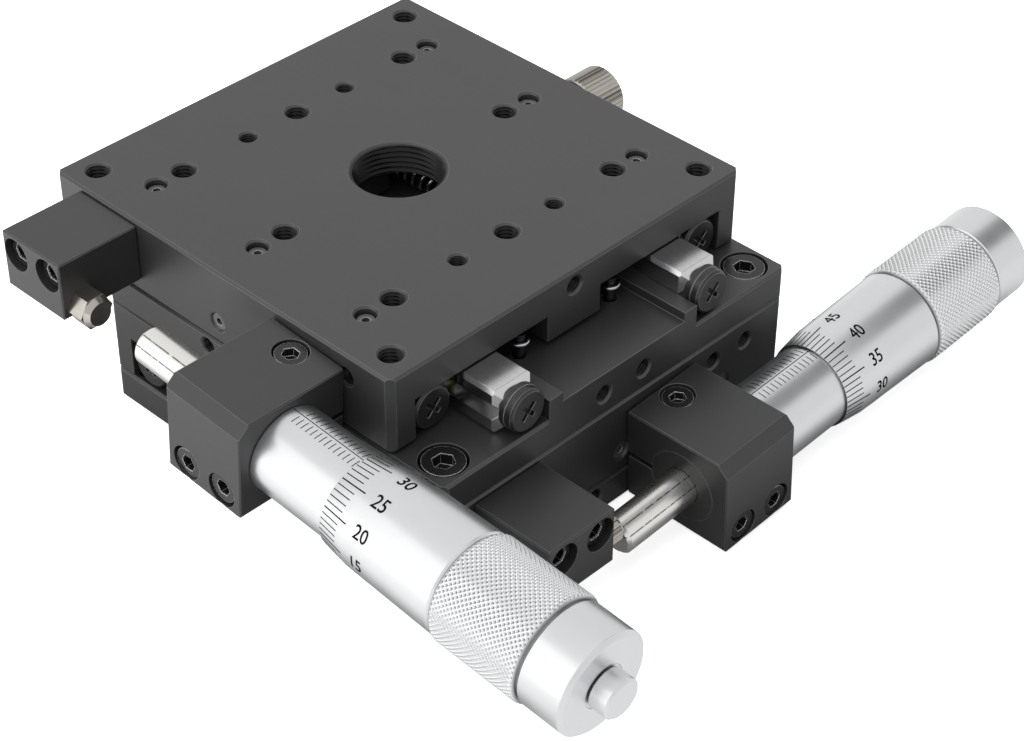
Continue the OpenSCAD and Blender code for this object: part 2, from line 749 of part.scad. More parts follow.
// Tilts the bracket and what it carries about the middle of its two screws
module tilted(tilt) {
    translate([bracket_x, 0, bracket_screw_h]) rotate([0, -tilt, 0])
        translate([-bracket_x, 0, -bracket_screw_h]) children();
}

// Bracket that clamps the head's stem, screwed to the side of the base
module head_bracket() {
    low = -half - bracket_d;
    color([0.2, 0.2, 0.21]) difference() {
        intersection() {
            cut_box([bracket_back, low, bracket_lift], [bracket_face, -half, bracket_h],
                block_edge, block_edge);
            translate([bracket_x, 0, 0]) along_x(bracket_w) polygon([
                [low, 0], [-half, 0], [-half, bracket_foot_h],
                [-half - bracket_gap, bracket_foot_h], [-half - bracket_gap, bracket_h],
                [low + bracket_cut, bracket_h], [low, bracket_h - bracket_cut]
            ]);
        }
        translate([bracket_back, -head_y, head_h]) rotate([0, 90, 0]) {
            translate([0, 0, -over])
                cylinder(h = bracket_w + 2 * over, d = stem_d + 2 * fit_gap,
                    $fn = round_sides);
            translate([0, 0, -over])
                cylinder(h = stem_nut_t + over, d = stem_nut_d + 2 * fit_gap,
                    $fn = round_sides);
        }
        translate([bracket_back - over, -head_y, head_h - slit_w / 2])
            cube([bracket_w + 2 * over, head_reach, slit_w]);
        for (s = [-1, 1])
            translate([bracket_x + s * bracket_screw_pitch / 2, low, bracket_screw_h])
                rotate([-90, 0, 0]) {
                    translate([0, 0, -over])
                        cylinder(h = bracket_d + 2 * over, d = bracket_hole_d,
                            $fn = small_sides);
                    translate([0, 0, -over])
                        cylinder(h = small_bore_depth + over, d = small_bore_d,
                            $fn = small_sides);
                }
        translate([bracket_x, -half - clamp_reach, bracket_h]) {
            translate([0, 0, -small_bore_depth])
                cylinder(h = small_bore_depth + over, d = small_bore_d,
                    $fn = small_sides);
            translate([0, 0, -small_bore_depth - clamp_screw_l])
                cylinder(h = clamp_screw_l + over, d = small_thread_d + 2 * thread_gap,
                    $fn = small_sides);
        }
    }
}

// The bracket's two holding screws, and its clamping screw, which tilts with it
module bracket_screws(tilt) {
    color([0.15, 0.15, 0.16]) {
        for (s = [-1, 1])
            translate([bracket_x + s * bracket_screw_pitch / 2,
                small_bore_depth - half - bracket_d, bracket_screw_h]) rotate([90, 0, 0])
                cap_screw(small_thread_d, small_head_d, small_head_h,
                    bracket_d - small_bore_depth + bracket_screw_depth - over);
        tilted(tilt) translate([bracket_x, -half - clamp_reach, bracket_h - small_bore_depth])
            cap_screw(small_thread_d, small_head_d, small_head_h, clamp_screw_l - over);
    }
}

// Puts a turned piece on the head's axis, drawn from its own zero towards the thimble
module on_head(x) {
    translate([x, -head_y, head_h]) rotate([0, 90, 0]) children();
}

// Round nut on the end of the stem, flush with the bracket's back
module stem_nut() {
    color([0.17, 0.17, 0.18]) on_head(bracket_back) difference() {
        cylinder(h = stem_nut_t, d = stem_nut_d, $fn = round_sides);
        translate([0, 0, -over])
            cylinder(h = stem_nut_t + 2 * over, d = spindle_d + 2 * spindle_bore_play,
                $fn = round_sides);
    }
}

// Graduated sleeve with its stem, bored for the spindle
module graduated_sleeve() {
    stem_l = bracket_w - stem_nut_t;
    color([0.82, 0.83, 0.84]) on_head(bracket_face) difference() {
        union() {
            translate([0, 0, -stem_l]) cylinder(h = stem_l + over, d = stem_d,
                $fn = round_sides);
            cylinder(h = sleeve_l, d = sleeve_d, $fn = round_sides);
        }
        translate([0, 0, -stem_l - over])
            cylinder(h = stem_l + sleeve_l + 2 * over,
                d = spindle_d + 2 * spindle_bore_play, $fn = round_sides);
    }
}

// Spindle that the thimble drives, with a chamfered tip
module spindle() {
    l = cap_x + spindle_in_cap + spindle_tip;
    color([0.8, 0.79, 0.76]) on_head(-spindle_tip) {
        cylinder(h = spindle_cut, d1 = spindle_d - 2 * spindle_cut, d2 = spindle_d,
            $fn = round_sides);
        translate([0, 0, spindle_cut])
            cylinder(h = l - spindle_cut, d = spindle_d, $fn = round_sides);
    }
}

// Thimble: graduated bevel, tapered body, and the wall that carries the grip
module thimble() {
    color([0.84, 0.85, 0.86]) on_head(thimble_x) rotate_extrude($fn = round_sides)
        polygon([
            [thimble_bore_d / 2, 0], [bevel_d / 2, 0], [thimble_front_d / 2, bevel_l],
            [thimble_rear_d / 2, thimble_l], [grip_bore_d / 2, thimble_l],
            [grip_bore_d / 2, thimble_l + grip_l],
            [spindle_d / 2 + fit_gap, thimble_l + grip_l],
            [spindle_d / 2 + fit_gap, thimble_cavity], [thimble_bore_d / 2, thimble_cavity]
        ]);
}

// Grip ring on the rear of the thimble
module knurled_grip() {
    color([0.74, 0.75, 0.76]) on_head(grip_x) rotate_extrude($fn = round_sides)
        polygon([
            [grip_bore_d / 2, 0], [grip_d / 2 - edge_cut, 0], [grip_d / 2, edge_cut],
            [grip_d / 2, grip_l - edge_cut], [grip_d / 2 - edge_cut, grip_l],
            [grip_bore_d / 2, grip_l]
        ]);
}

// End cap that closes the thimble
module end_cap() {
    socket_l = spindle_in_cap + contact_gap;
    color([0.84, 0.85, 0.86]) on_head(cap_x) rotate_extrude($fn = round_sides)
        polygon([
            [spindle_d / 2 + fit_gap, 0], [cap_d / 2, 0], [cap_d / 2, cap_l - cap_cut],
            [cap_d / 2 - cap_cut, cap_l], [knob_stem_d / 2 + fit_gap, cap_l],
            [knob_stem_d / 2 + fit_gap, socket_l], [spindle_d / 2 + fit_gap, socket_l]
        ]);
}

// Ratchet knob on the end of the cap
module ratchet_knob() {
    color([0.84, 0.85, 0.86]) on_head(cap_x + cap_l + contact_gap)
        rotate_extrude($fn = round_sides) polygon([
            [0, -knob_stem_l], [knob_stem_d / 2, -knob_stem_l], [knob_stem_d / 2, 0],
            [knob_d / 2, 0], [knob_d / 2, knob_l - knob_cut],
            [knob_d / 2 - knob_cut, knob_l], [0, knob_l]
        ]);
}

// Stop block on the side of the table, pushed by the spindle
module stop_block() {
    color([0.2, 0.2, 0.21]) difference() {
        cut_box([-block_x - block_w, -half - block_d, block_top - block_h],
            [-block_x, -half, block_top], block_edge, block_edge);
        for (s = [-1, 1])
            translate([s * block_screw_pitch / 2 - block_mid, -half - block_d, block_screw_h])
                rotate([-90, 0, 0]) {
                    translate([0, 0, -over])
                        cylinder(h = block_d + 2 * over,
                            d = small_thread_d + 2 * screw_gap, $fn = small_sides);
                    translate([0, 0, -over])
                        cylinder(h = block_bore_depth + over, d = small_bore_d,
                            $fn = small_sides);
                }
        translate([-block_x, -head_y, contact_h]) rotate([0, 90, 0])
            translate([0, 0, -contact_shank_l - over])
                cylinder(h = contact_shank_l + 2 * over,
                    d = contact_shank_d + 2 * thread_gap, $fn = small_sides);
    }
}

// The two screws through the stop block
module stop_block_screws() {
    color([0.15, 0.15, 0.16]) for (s = [-1, 1])
        translate([s * block_screw_pitch / 2 - block_mid,
            block_bore_depth - half - block_d, block_screw_h]) rotate([90, 0, 0])
            cap_screw(small_thread_d, small_head_d, small_head_h,
                block_d - block_bore_depth + side_hole_depth - over);
}

// Hexagonal contact screw with a tapered tip, in the upper stop block
module hex_contact() {
    corner_d = contact_af / cos(30);
    flats_l = contact_l - contact_tip_l;
    color([0.8, 0.78, 0.74]) translate([-block_x, -head_y, contact_h]) rotate([0, 90, 0]) {
        rotate([0, 0, 30]) cylinder(h = flats_l, d = corner_d, $fn = 6);
        translate([0, 0, flats_l])
            cylinder(h = contact_tip_l, d1 = contact_af, d2 = contact_tip_d,
                $fn = small_sides);
        translate([0, 0, -contact_shank_l])
            cylinder(h = contact_shank_l, d = contact_shank_d, $fn = small_sides);
    }
}

// Round contact with straight ribs, in the lower stop block
module round_contact() {
    color([0.8, 0.78, 0.74]) translate([-block_x, -head_y, contact_h]) rotate([0, 90, 0]) {
        linear_extrude(contact_l - contact_tip_l / 2)
            polygon(ribbed(round_contact_d, contact_ribs, contact_rib_depth));
        translate([0, 0, contact_l - contact_tip_l / 2])
            cylinder(h = contact_tip_l / 2, d = contact_tip_d, $fn = small_sides);
        translate([0, 0, -contact_shank_l])
            cylinder(h = contact_shank_l, d = contact_shank_d, $fn = small_sides);
    }
}

// Slotted plate on the base that the lock screw clamps the table to
module lock_plate() {
    color([0.2, 0.2, 0.21]) difference() {
        intersection() {
            cut_box([-lock_plate_l / 2 - lock_x, half, 0],
                [lock_plate_l / 2 - lock_x, lock_face, lock_plate_h], block_edge, block_edge);
            translate([-lock_x, 0, 0]) along_x(lock_plate_l) polygon([
                [half, 0], [lock_face, 0], [lock_face, lock_plate_h],
                [half + bracket_gap, lock_plate_h], [half + bracket_gap, base_t],
                [half, base_t]
            ]);
        }
        translate([-lock_x, half - over, lock_h]) rotate([-90, 0, 0])
            linear_extrude(lock_plate_t + bracket_gap + 2 * over) {
                square([lock_slot_l - lock_slot_w, lock_slot_w], center = true);
                for (s = [-1, 1]) translate([s * (lock_slot_l - lock_slot_w) / 2, 0])
                    circle(d = lock_slot_w, $fn = small_sides);
            }
        for (s = [-1, 1])
            translate([s * lock_foot_pitch / 2 - lock_x, lock_face, bracket_screw_h])
                rotate([90, 0, 0]) {
                    translate([0, 0, -over])
                        cylinder(h = lock_plate_t + bracket_gap + 2 * over,
                            d = small_thread_d + 2 * screw_gap, $fn = small_sides);
                    translate([0, 0, -over])
                        cylinder(h = small_head_h + over, d = small_head_d + 2 * screw_gap,
                            $fn = small_sides);
                }
    }
}

// The two screws that hold the lock plate
module lock_plate_screws() {
    color([0.15, 0.15, 0.16]) for (s = [-1, 1])
        translate([s * lock_foot_pitch / 2 - lock_x, lock_face - small_head_h,
            bracket_screw_h]) rotate([-90, 0, 0])
            cap_screw(small_thread_d, small_head_d, small_head_h,
                lock_plate_t + bracket_gap - small_head_h + bracket_screw_depth - over);
}

// Knurled thumb screw through the slot into the table's flange
module lock_screw() {
    shank_l = lock_gap + lock_plate_t + bracket_gap + lock_engage;
    color([0.78, 0.76, 0.72]) translate([-lock_x, lock_face + lock_gap, lock_h])
        rotate([-90, 0, 0]) {
            cylinder(h = lock_collar_l, d = lock_collar_d, $fn = small_sides);
            translate([0, 0, lock_collar_l]) intersection() {
                linear_extrude(lock_head_l)
                    polygon(ribbed(lock_head_d, lock_ribs, lock_rib_depth));
                rotate_extrude($fn = round_sides) polygon([
                    [0, 0], [lock_head_d / 2 - lock_edge, 0], [lock_head_d / 2, lock_edge],
                    [lock_head_d / 2, lock_head_l - lock_edge],
                    [lock_head_d / 2 - lock_edge, lock_head_l], [0, lock_head_l]
                ]);
            }
            translate([0, 0, -shank_l])
                cylinder(h = shank_l, d = lock_screw_d - 2 * thread_gap,
                    $fn = small_sides);
        }
}

// Screws that hold the upper base on the lower table
module stack_screws() {
    color([0.15, 0.15, 0.16]) translate([0, 0, stage_h + base_t - large_bore_depth])
        for (x = [-1, 1]) for (y = [-1, 1])
            translate([x * corner_pitch / 2, y * corner_pitch / 2, 0])
                cap_screw(large_thread_d, large_head_d, large_head_h,
                    base_t - large_bore_depth + stack_engage);
}

// Tilts the lower head as a whole
module lower_head() {
    tilted(lower_head_tilt) children();
}

// Turns the single stage into the upper one
module upper() {
    translate([0, 0, stage_h]) rotate([0, 0, -90]) children();
}

// Tilts the upper head as a whole
module upper_head() {
    upper() tilted(upper_head_tilt) children();
}

// What the upper table carries, and what its cages carry
module upper_table() {
    upper() translate([-upper_shift, 0, 0]) children();
}
module upper_cages() {
    upper() translate([-upper_shift / 2, 0, 0]) children();
}

base();  // x_base
table();  // x_table
inner_rails();  // x_inner_rails
outer_rails();  // x_outer_rails
roller_cages();  // x_roller_cages
rollers();  // x_rollers
rail_end_screws(inner_rail_mid);  // x_inner_end_screws
rail_end_screws(outer_rail_mid);  // x_outer_end_screws
inner_rail_screws();  // x_inner_rail_screws
outer_rail_screws();  // x_outer_rail_screws
preload_screws();  // x_preload_screws
return_springs(0);  // x_return_springs
base_spring_pins();  // x_base_spring_pins
table_spring_pins();  // x_table_spring_pins
lower_head() head_bracket();  // x_head_bracket
bracket_screws(lower_head_tilt);  // x_bracket_screws
lower_head() stem_nut();  // x_stem_nut
lower_head() graduated_sleeve();  // x_graduated_sleeve
lower_head() spindle();  // x_spindle
lower_head() thimble();  // x_thimble
lower_head() knurled_grip();  // x_knurled_grip
lower_head() end_cap();  // x_end_cap
lower_head() ratchet_knob();  // x_ratchet_knob
stop_block();  // x_stop_block
stop_block_screws();  // x_stop_block_screws
round_contact();  // x_contact
lock_plate();  // x_lock_plate
lock_plate_screws();  // x_lock_plate_screws
lock_screw();  // x_lock_screw
upper() base();  // y_base
upper_table() table();  // y_table
upper() inner_rails();  // y_inner_rails
upper_table() outer_rails();  // y_outer_rails
upper_cages() roller_cages();  // y_roller_cages
upper_cages() rollers();  // y_rollers
upper() rail_end_screws(inner_rail_mid);  // y_inner_end_screws
upper_table() rail_end_screws(outer_rail_mid);  // y_outer_end_screws
upper() inner_rail_screws();  // y_inner_rail_screws
upper_table() outer_rail_screws();  // y_outer_rail_screws
upper_table() preload_screws();  // y_preload_screws
upper() return_springs(-upper_shift);  // y_return_springs
upper() base_spring_pins();  // y_base_spring_pins
upper_table() table_spring_pins();  // y_table_spring_pins
upper_head() head_bracket();  // y_head_bracket
upper() bracket_screws(upper_head_tilt);  // y_bracket_screws
upper_head() stem_nut();  // y_stem_nut
upper_head() graduated_sleeve();  // y_graduated_sleeve
upper_head() spindle();  // y_spindle
upper_head() thimble();  // y_thimble
upper_head() knurled_grip();  // y_knurled_grip
upper_head() end_cap();  // y_end_cap
upper_head() ratchet_knob();  // y_ratchet_knob
upper_table() stop_block();  // y_stop_block
upper_table() stop_block_screws();  // y_stop_block_screws
upper_table() hex_contact();  // y_contact
upper() lock_plate();  // y_lock_plate
upper() lock_plate_screws();  // y_lock_plate_screws
upper_table() lock_screw();  // y_lock_screw
stack_screws();
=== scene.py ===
import json
from math import ceil, cos, pi, radians, sin

import bmesh
import bpy
import numpy as np
from mathutils import Euler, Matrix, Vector


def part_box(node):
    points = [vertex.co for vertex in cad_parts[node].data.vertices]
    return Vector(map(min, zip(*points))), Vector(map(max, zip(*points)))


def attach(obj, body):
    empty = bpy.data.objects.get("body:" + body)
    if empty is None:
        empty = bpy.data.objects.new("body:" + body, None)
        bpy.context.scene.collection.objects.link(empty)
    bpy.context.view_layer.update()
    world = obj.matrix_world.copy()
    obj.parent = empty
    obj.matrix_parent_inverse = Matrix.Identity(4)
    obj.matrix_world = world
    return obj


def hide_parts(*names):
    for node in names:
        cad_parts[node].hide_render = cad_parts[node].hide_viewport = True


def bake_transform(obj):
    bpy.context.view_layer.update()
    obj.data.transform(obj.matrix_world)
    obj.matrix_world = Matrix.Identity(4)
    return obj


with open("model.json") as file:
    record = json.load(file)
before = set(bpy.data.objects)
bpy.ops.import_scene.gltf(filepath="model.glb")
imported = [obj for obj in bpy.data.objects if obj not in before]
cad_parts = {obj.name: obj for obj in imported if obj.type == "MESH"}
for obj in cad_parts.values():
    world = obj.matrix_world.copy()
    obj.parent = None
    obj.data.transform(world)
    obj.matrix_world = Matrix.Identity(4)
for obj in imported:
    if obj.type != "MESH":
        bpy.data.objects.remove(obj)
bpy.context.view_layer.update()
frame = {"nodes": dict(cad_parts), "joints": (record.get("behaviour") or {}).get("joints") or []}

nodes = frame["nodes"]
mm = 0.001

# Camera: a long lens on the corner between the two heads, high enough to see every tapped hole.
# Its place and angles were fitted to the hole grid of the table.
camera_at = Vector((-238.55, -246.67, 275.54)) * mm
camera_turn = Euler([radians(a) for a in (51.679, -0.248, -45.683)])
sensor_w, focal_length = 36, 89.71
camera = bpy.data.objects.new("camera", bpy.data.cameras.new("camera"))
camera.data.sensor_width = sensor_w
camera.data.lens = focal_length
camera.data.clip_start = 0.01
camera.location = camera_at
camera.rotation_euler = camera_turn
bpy.context.scene.collection.objects.link(camera)
bpy.context.scene.camera = camera
bpy.context.scene.view_settings.view_transform = "Standard"


# Room: a pale floor, a sky that is bright above and towards -X and +Y, and one large soft lamp.
# Metal mirrors an even room with a dark band and a dark card in it, and close by a floor with a painted
# shadow on it.
class Value:
    """One output of a node. Arithmetic on it adds Math nodes to its tree."""

    def __init__(self, tree, socket):
        self.tree = tree
        self.socket = socket

    def reckon(self, operation, *numbers):
        return self.tree.node("Math", numbers, {"operation": operation})

    def __add__(self, other):
        return self.reckon("ADD", self, other)

    def __radd__(self, other):
        return self.reckon("ADD", other, self)

    def __sub__(self, other):
        return self.reckon("SUBTRACT", self, other)

    def __rsub__(self, other):
        return self.reckon("SUBTRACT", other, self)

    def __mul__(self, other):
        return self.reckon("MULTIPLY", self, other)

    def __rmul__(self, other):
        return self.reckon("MULTIPLY", other, self)

    def __abs__(self):
        return self.reckon("ABSOLUTE", self)

    def step(self, low, high):
        """0 below low, 1 above high and an s-curve between them; low may be the larger."""
        return self.tree.node("MapRange", {"Value": self, "From Min": low, "From Max": high},
                              {"interpolation_type": "SMOOTHSTEP"})


class Tree:
    """Node tree of a finish, a lamp or the sky."""

    def __init__(self, owner, output):
        owner.use_nodes = True
        self.tree = owner.node_tree
        self.tree.nodes.clear()
        self.output = self.tree.nodes.new(output)

    def node(self, kind, values, settings=None, out=0):
        """Adds a node of that kind: first its settings, then the values or links of its sockets."""
        made = self.tree.nodes.new("ShaderNode" + kind)
        for name, setting in (settings or {}).items():
            setattr(made, name, setting)
        pairs = values.items() if isinstance(values, dict) else enumerate(values)
        for key, value in pairs:
            self.put(made.inputs[key], value)
        return Value(self, made.outputs[out])

    def put(self, socket, value):
        """Links a value to a socket, or sets the socket to a number or a colour."""
        if isinstance(value, Value):
            self.tree.links.new(value.socket, socket)
        elif socket.type == "RGBA":
            socket.default_value = (*value, 1)
        else:
            socket.default_value = value

    def mix(self, share, first, second):
        """Colour that goes from first to second as share goes from 0 to 1."""
        return self.node("Mix", {0: share, 6: first, 7: second}, {"data_type": "RGBA"}, out=2)

    def dot(self, vector, way):
        """Length of a vector along a way."""
        return self.node("VectorMath", (vector, way), {"operation": "DOT_PRODUCT"}, out=1)


def on_ray(tree, *kinds):
    """1 on rays of those kinds and 0 on the others."""
    found = [tree.node("LightPath", {}, out=f"Is {kind} Ray") for kind in kinds]
    return sum(found[1:], found[0])


room_way, room_edge, dim_level, bright_level = (-0.50, 0.45, 0.74), (-0.15, 0.90), 0.05, 2.05
band_way, band_edge, band_cut, band_depth = (0.55, -0.21, 0.81), (0.90, 0.985), (0.36, 0.48), 0.70
card_way, card_edge, card_depth = (-0.35, 0.86, 0.37), (0.922, 0.965), 0.60
mirrored_wall = 0.80
world = bpy.data.worlds.new("studio")
bpy.context.scene.world = world
sky = Tree(world, "ShaderNodeOutputWorld")
toward = sky.node("TexCoord", {}, out="Generated")
room_level = dim_level + (bright_level - dim_level) * sky.dot(toward, room_way).step(*room_edge)
band = sky.dot(toward, band_way).step(*band_edge) * sky.dot(toward, (1.0, 0.0, 0.0)).step(*band_cut)
card = sky.dot(toward, card_way).step(*card_edge)
mirror_level = mirrored_wall - band_depth * band - card_depth * card
level = sky.node("Mix", {0: on_ray(sky, "Glossy"), 2: room_level, 3: mirror_level},
                 {"data_type": "FLOAT"})
level = sky.node("Mix", {0: on_ray(sky, "Camera", "Transmission"), 2: level, 3: 1.0},
                 {"data_type": "FLOAT"})
sky.put(sky.output.inputs["Surface"],
        sky.node("Background", {"Color": (1.0, 1.0, 1.0), "Strength": level}))

floor_half, floor_drop = 3.0, 0.0002
shown_paper, lit_paper, dim_paper = (0.86, 0.86, 0.86), (0.60, 0.60, 0.60), (0.14, 0.14, 0.14)
lit_way, lit_edge = (-0.7, 0.7, 0.0), (-0.12, 0.30)
shown_glow, mirrored_glow, painted_shadow_depth = 0.72, 0.68, 0.60
shadow_patch_middle_x, shadow_patch_edge_x, shadow_patch_edge_y = 0.008, (0.092, 0.066), (0.082, 0.060)
floor_mesh = bpy.data.meshes.new("floor")
floor_mesh.from_pydata([(x, y, -floor_drop) for x, y in
                        ((-floor_half, -floor_half), (floor_half, -floor_half),
                         (floor_half, floor_half), (-floor_half, floor_half))], [], [(0, 1, 2, 3)])
floor = bpy.data.objects.new("floor", floor_mesh)
bpy.context.scene.collection.objects.link(floor)
floor_paint = bpy.data.materials.new("floor_paint")
paper = Tree(floor_paint, "ShaderNodeOutputMaterial")
spot = paper.node("TexCoord", {}, out="Object")
shown = on_ray(paper, "Camera", "Transmission")
# Rays other than camera rays see the floor painted lighter towards -X and +Y and darker towards +X and -Y:
# painted light and shade.
painted_light_paper = paper.mix(paper.dot(spot, lit_way).step(*lit_edge), dim_paper, lit_paper)
matt = paper.node("BsdfDiffuse", {"Color": paper.mix(shown, painted_light_paper, shown_paper)})
# Close round the object the floor that glossy rays see is darker: a painted shadow that the metal mirrors.
shadow_patch_x = abs(paper.dot(spot, (1.0, 0.0, 0.0)) - shadow_patch_middle_x).step(*shadow_patch_edge_x)
shadow_patch_y = abs(paper.dot(spot, (0.0, 1.0, 0.0))).step(*shadow_patch_edge_y)
mirrored = on_ray(paper, "Glossy") * (mirrored_glow - painted_shadow_depth * shadow_patch_x * shadow_patch_y)
glow = paper.node("Emission", {"Color": (1.0, 1.0, 1.0), "Strength": shown * shown_glow + mirrored})
paper.put(paper.output.inputs["Surface"], paper.node("AddShader", (matt, glow)))
floor_mesh.materials.append(floor_paint)

key_place, key_size, key_power = Vector((-0.86, 0.49, 0.45)), 1.1, 1.9
key_light = bpy.data.lights.new("key_box", "AREA")
key_light.size = key_size
key_light.energy = key_power
key = bpy.data.objects.new("key_box", key_light)
key.location = key_place
key.rotation_euler = (-key_place).to_track_quat("-Z", "Y").to_euler()
bpy.context.scene.collection.objects.link(key)


# Base plates, tables, head brackets, stop blocks and lock plates: milled aluminium, anodised black.
# A satin grain, faint milling lines and pale edges come from the finish alone; the pale edges are a
# painted highlight.
class Finish(Tree):
    """Material with one Principled shader. Constants are set on its own sockets."""

    def __init__(self, name, constants):
        self.material = bpy.data.materials.new(name)
        super().__init__(self.material, "ShaderNodeOutputMaterial")
        self.shader = self.tree.nodes.new("ShaderNodeBsdfPrincipled")
        self.tree.links.new(self.shader.outputs[0], self.output.inputs["Surface"])
        self.feed(constants)

    def feed(self, values):
        for key, value in values.items():
            self.put(self.shader.inputs[key], value)

    def place(self):
        """Object coordinates in millimetres."""
        at = self.node("TexCoord", {}, out="Object")
        return self.node("VectorMath", {0: at, "Scale": 1 / mm}, {"operation": "SCALE"})

    def noise(self, at, scale, detail=2.0):
        """Noise from 0 to 1 with that many cells a millimetre."""
        return self.node("TexNoise", {"Vector": at, "Scale": scale, "Detail": detail})

    def stretched(self, at, scales):
        """Coordinates scaled apart, for grain that runs one way."""
        return self.node("VectorMath", (at, scales), {"operation": "MULTIPLY"})

    def edge(self, radius):
        """1 along sharp edges within a radius in metres, and the rounded normal there."""
        soft = self.node("Bevel", {"Radius": radius}, {"samples": 6})
        flat = self.node("NewGeometry", {}, out="Normal")
        return (1 - self.dot(soft, flat)).step(0.004, 0.09), soft

    def bump(self, height, depth, normal):
        """Normal tilted by a height map from 0 to 1 that is depth metres deep."""
        self.feed({"Normal": self.node("Bump", {"Height": height, "Distance": depth, "Normal": normal})})


def anodised(name, gloss, lines):
    """Black anodised finish; lines scales the grain along x, y and z, so that it runs one way."""
    finish = Finish(name, {"Metallic": 0.0, "Specular IOR Level": gloss})
    at = finish.place()
    grain = finish.noise(at, 7.0, 3.0)
    cloud = finish.noise(at, 0.05)
    milling = finish.noise(finish.stretched(at, lines), 1.0, 1.0)
    edge_band, soft = finish.edge(0.25 * mm)
    tone = finish.mix(cloud, (0.017, 0.017, 0.018), (0.022, 0.022, 0.023))
    tone = finish.mix(grain.step(0.35, 0.75) * 0.35, tone, (0.032, 0.032, 0.033))
    # Sharp edges are painted a pale grey: a painted highlight along them. They are also a little smoother.
    finish.feed({
        "Base Color": finish.mix(edge_band * 0.5, tone, (0.22, 0.22, 0.225)),
        "Roughness": 0.36 + 0.10 * grain + 0.05 * milling - 0.06 * edge_band,
    })
    finish.bump(grain * 0.6 + milling * 0.4, 0.012 * mm, soft)
    return finish.material


def dress(names, material):
    """Gives CAD nodes a finish."""
    for name in names:
        nodes[name].data.materials.clear()
        nodes[name].data.materials.append(material)


stages = ("x", "y")
plate_finish = anodised("black_anodised_plate", 0.95, (2.2, 0.05, 2.2))
block_finish = anodised("black_anodised_block", 0.78, (0.4, 2.0, 0.4))
for stage in stages:
    dress([f"{stage}_base", f"{stage}_table"], plate_finish)
    dress([f"{stage}_head_bracket", f"{stage}_stop_block", f"{stage}_lock_plate"], block_finish)


# Rails of the crossed-roller ways: hardened steel, ground bright along their length.
# They lie in the base and under the table, and only their ends and a line of each side show.
def ground(name, along):
    """Ground steel with fine lines that run along x or y."""
    finish = Finish(name, {"Metallic": 1.0})
    at = finish.place()
    scales = (0.15, 9.0, 9.0) if along == "x" else (9.0, 0.15, 9.0)
    lines = finish.noise(finish.stretched(at, scales), 1.0, 3.0)
    cloud = finish.noise(at, 0.3)
    edge_band, soft = finish.edge(0.15 * mm)
    finish.feed({
        "Base Color": finish.mix(lines, (0.60, 0.60, 0.61), (0.82, 0.82, 0.83)),
        "Roughness": 0.12 + 0.10 * cloud + 0.06 * lines,
    })
    finish.bump(lines, 0.003 * mm, soft)
    return finish.material


for stage in stages:
    dress([f"{stage}_inner_rails", f"{stage}_outer_rails"], ground(f"ground_steel_{stage}", stage))


# Roller cages and rollers: a stamped brass strip with a window for each polished roller.
# The rollers lie crossed in their windows, one leaning each way in turn.
def bright(name, colour, roughness, spread=0.08):
    """Bare bright metal whose roughness varies a little."""
    finish = Finish(name, {"Metallic": 1.0})
    at = finish.place()
    grain = finish.noise(at, 5.0, 3.0)
    stain = finish.noise(at, 0.4)
    edge_band, soft = finish.edge(0.12 * mm)
    darker = tuple(0.8 * c for c in colour)
    finish.feed({
        "Base Color": finish.mix(stain * 0.6 + grain * 0.4, darker, colour),
        "Roughness": roughness + spread * (grain - 0.5) - 0.05 * edge_band,
    })
    finish.bump(grain, 0.003 * mm, soft)
    return finish.material


cage_finish = bright("cage_brass", (0.72, 0.60, 0.34), 0.32)
roller_finish = bright("roller_steel", (0.78, 0.78, 0.80), 0.10, 0.04)
for stage in stages:
    dress([f"{stage}_roller_cages"], cage_finish)
    dress([f"{stage}_rollers"], roller_finish)


# Screws: black-oxide cap screws with hex sockets, and cross-recess screws on the rail ends.
# The oxide is oily and smooth on top of the heads, and their rims are painted a lighter grey as a painted
# highlight.
def oxide(name, dark, pale, roughness, rim):
    """Black-oxide steel, from dark to pale, with rims painted a lighter grey: a painted highlight."""
    finish = Finish(name, {"Metallic": 0.6, "IOR": 1.8})
    at = finish.place()
    grain = finish.noise(at, 4.0, 3.0)
    edge_band, soft = finish.edge(0.2 * mm)
    # The rims are painted a lighter grey: a painted highlight.
    finish.feed({
        "Base Color": finish.mix(edge_band, finish.mix(grain, dark, pale), (rim, rim, rim)),
        "Roughness": roughness + 0.10 * grain,
    })
    finish.bump(grain, 0.006 * mm, soft)
    return finish.material


screw_finish = oxide("black_oxide_screw", (0.014, 0.014, 0.015), (0.035, 0.035, 0.037), 0.22, 0.78)
end_screw_finish = oxide("grey_oxide_screw", (0.018, 0.018, 0.019), (0.05, 0.05, 0.052), 0.28, 0.28)
sunk_screw_finish = oxide("grey_set_screw_painted_rim", (0.10, 0.10, 0.105), (0.24, 0.24, 0.245), 0.34, 0.60)
for stage in stages:
    dress([f"{stage}_{kind}" for kind in
           ("inner_rail_screws", "bracket_screws", "stop_block_screws", "lock_plate_screws")],
          screw_finish)
    dress([f"{stage}_inner_end_screws", f"{stage}_outer_end_screws"], end_screw_finish)
    dress([f"{stage}_outer_rail_screws", f"{stage}_preload_screws"], sunk_screw_finish)
dress(["stack_screws"], screw_finish)


# Spring pins, contacts and lock screws: the pins are steel pressed into base and table, painted near black
# as painted shade, for they stand in the dark gap between them.
# Contacts and lock screws are nickel-plated; they stop the spindle and clamp the table.
# The pins' near-black colour is painted shade.
pin_finish = bright("pin_in_painted_shade", (0.10, 0.10, 0.105), 0.30, 0.05)
nickel_finish = bright("nickel_plate", (0.55, 0.52, 0.47), 0.24)
for stage in stages:
    dress([f"{stage}_base_spring_pins", f"{stage}_table_spring_pins"], pin_finish)
    dress([f"{stage}_contact", f"{stage}_lock_screw"], nickel_finish)


